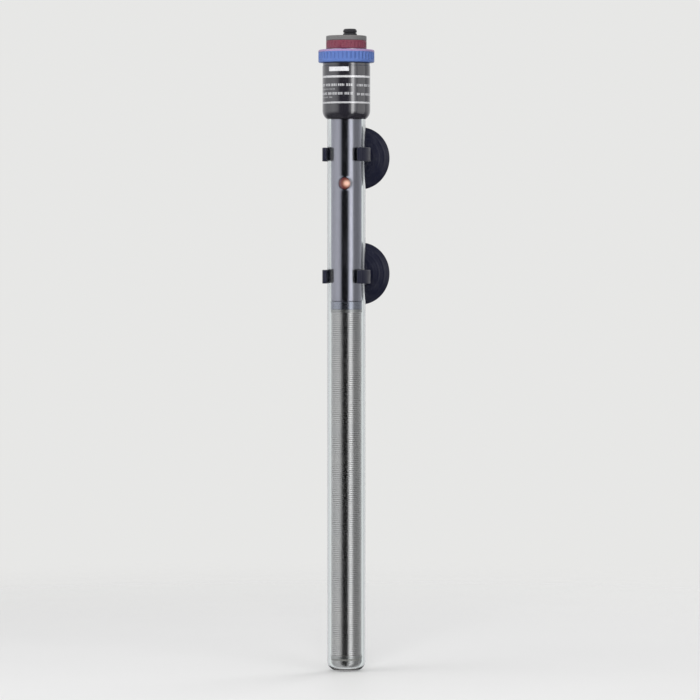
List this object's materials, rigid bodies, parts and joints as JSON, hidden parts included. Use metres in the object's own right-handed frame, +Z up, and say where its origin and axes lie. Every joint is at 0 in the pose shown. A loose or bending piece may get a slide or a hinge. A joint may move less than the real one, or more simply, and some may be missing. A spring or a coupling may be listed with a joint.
{
  "type": "submersible aquarium heater",
  "caption": "Glass tube heater with a wound core, an internal thermostat set by a ring on the head, and sliding clips with suction cups.",
  "frame": {"origin": "centre of the glass tube's flat closed end", "axes": "+Z up the tube to the head, +Y to the tank wall that the suction cups hold, -Y to the printed front of the head"},
  "size_m": [0.0404, 0.0437, 0.4131],
  "materials": {
    "tube_glass": "clear borosilicate glass",
    "mica": "mica sheet",
    "ceramic_core": "unglazed ceramic",
    "winding_wire": "drawn resistance wire",
    "nickel_band": "nickel plated",
    "lead_wire": "tinned wire",
    "joint_ceramic": "dark ceramic",
    "sleeve_metal": "satin, cool grey",
    "phenolic": "brown laminate",
    "bimetal": "rolled bimetal",
    "contact_bronze": "spring bronze",
    "contact_silver": "silver contact",
    "magnet": "sintered magnet",
    "nut_brass": "turned brass",
    "cutout_can": "drawn can",
    "insulation_blue": "wire insulation",
    "insulation_brown": "wire insulation",
    "neon_glass": "neon bulb",
    "lens_orange": "clear orange lens",
    "resistor_body": "lacquered",
    "stopper_rubber": "soft rubber",
    "resin": "cast resin",
    "head_plastic": "polished black moulding",
    "bush_brass": "turned brass",
    "seal_red": "silicone",
    "spindle_steel": "turned stainless steel",
    "hub_plastic": "black moulding",
    "ring_blue": "blue moulding",
    "washer_steel": "spring steel",
    "ring_red": "dark red moulding",
    "lid_grey": "dark grey moulding",
    "screw_steel": "stainless steel",
    "grommet_rubber": "black rubber",
    "cord_sheath": "black cord sheath",
    "core_insulation": "wire insulation",
    "copper": "bare copper strands",
    "clip_black": "firm black rubber",
    "cup_black": "soft black rubber"
  },
  "bodies": {
    "housing": {"glass_tube": "tube_glass", "end_plug": "joint_ceramic", "end_spacer": "mica", "heater_core": "ceramic_core", "heating_winding": "winding_wire", "winding_bands": "nickel_band", "return_lead": "lead_wire", "heater_lead": "lead_wire", "joint_ring": "joint_ceramic", "thermostat_sleeve": "sleeve_metal", "thermostat_frame": "phenolic", "bimetal_strip": "bimetal", "fixed_contact": "contact_silver", "snap_magnet": "magnet", "thermal_cutout": "cutout_can", "cutout_lead": "insulation_blue", "live_lead": "insulation_brown", "neon_lamp": "neon_glass", "lamp_lens": "lens_orange", "lamp_resistor": "resistor_body", "lamp_leads": "lead_wire", "seal_stopper": "stopper_rubber", "sealing_compound": "resin", "head_cap": "head_plastic", "spindle_bush": "bush_brass", "ring_hub": "hub_plastic", "wave_washer": "washer_steel", "top_cap": "lid_grey", "cover_screws": "screw_steel", "cord_grommet": "grommet_rubber", "power_cord": "cord_sheath", "cord_cores": "core_insulation", "cord_strands": "copper", "cord_clamp": "hub_plastic", "clamp_screws": "screw_steel"},
    "setting_ring": {"setting_ring": "ring_blue"},
    "calibration_ring": {"calibration_ring": "ring_red"},
    "spindle": {"pinion_spindle": "spindle_steel", "spindle_o_rings": "seal_red"},
    "adjuster": {"adjusting_nut": "nut_brass"},
    "contact_arm": {"contact_arm": "contact_bronze", "moving_contact": "contact_silver"},
    "clip_upper": {"clip_upper": "clip_black"},
    "clip_lower": {"clip_lower": "clip_black"},
    "cup_upper": {"cup_upper": "cup_black"},
    "cup_lower": {"cup_lower": "cup_black"}
  },
  "joints": [
    {"name": "setting_turn", "type": "hinge", "parent": "housing", "child": "setting_ring", "pos_m": [0, 0, 0.396], "axis": [0, 0, 1], "range_deg": [-135, 135]},
    {"name": "spindle_turn", "type": "hinge", "parent": "housing", "child": "spindle", "pos_m": [0, -0.006, 0.36], "axis": [0, 0, 1], "range_deg": [-270, 270]},
    {"name": "adjuster_travel", "type": "slide", "parent": "housing", "child": "adjuster", "axis": [0, 0, 1], "range_m": [-0.00112, 0.00112]},
    {"name": "calibration_turn", "type": "hinge", "parent": "housing", "child": "calibration_ring", "pos_m": [0, 0, 0.403], "axis": [0, 0, 1], "range_deg": [-20, 20]},
    {"name": "contact_open", "type": "hinge", "parent": "housing", "child": "contact_arm", "pos_m": [0, 0.00085, 0.268], "axis": [1, 0, 0], "range_deg": [0, 1.2]},
    {"name": "upper_clip_slide", "type": "slide", "parent": "housing", "child": "clip_upper", "axis": [0, 0, 1], "range_m": [-0.012, 0.012]},
    {"name": "lower_clip_slide", "type": "slide", "parent": "housing", "child": "clip_lower", "axis": [0, 0, 1], "range_m": [-0.22, 0.012]},
    {"name": "upper_cup_spin", "type": "hinge", "parent": "clip_upper", "child": "cup_upper", "pos_m": [0, 0.02, 0.3303], "axis": [0, 1, 0], "continuous": true},
    {"name": "lower_cup_spin", "type": "hinge", "parent": "clip_lower", "child": "cup_lower", "pos_m": [0, 0.02, 0.2556], "axis": [0, 1, 0], "continuous": true}
  ],
  "couplings": [
    {"joint": "spindle_turn", "follows": "setting_turn", "ratio": 2},
    {"joint": "adjuster_travel", "follows": "setting_turn", "m_per_rad": 0.00047746}
  ]
}
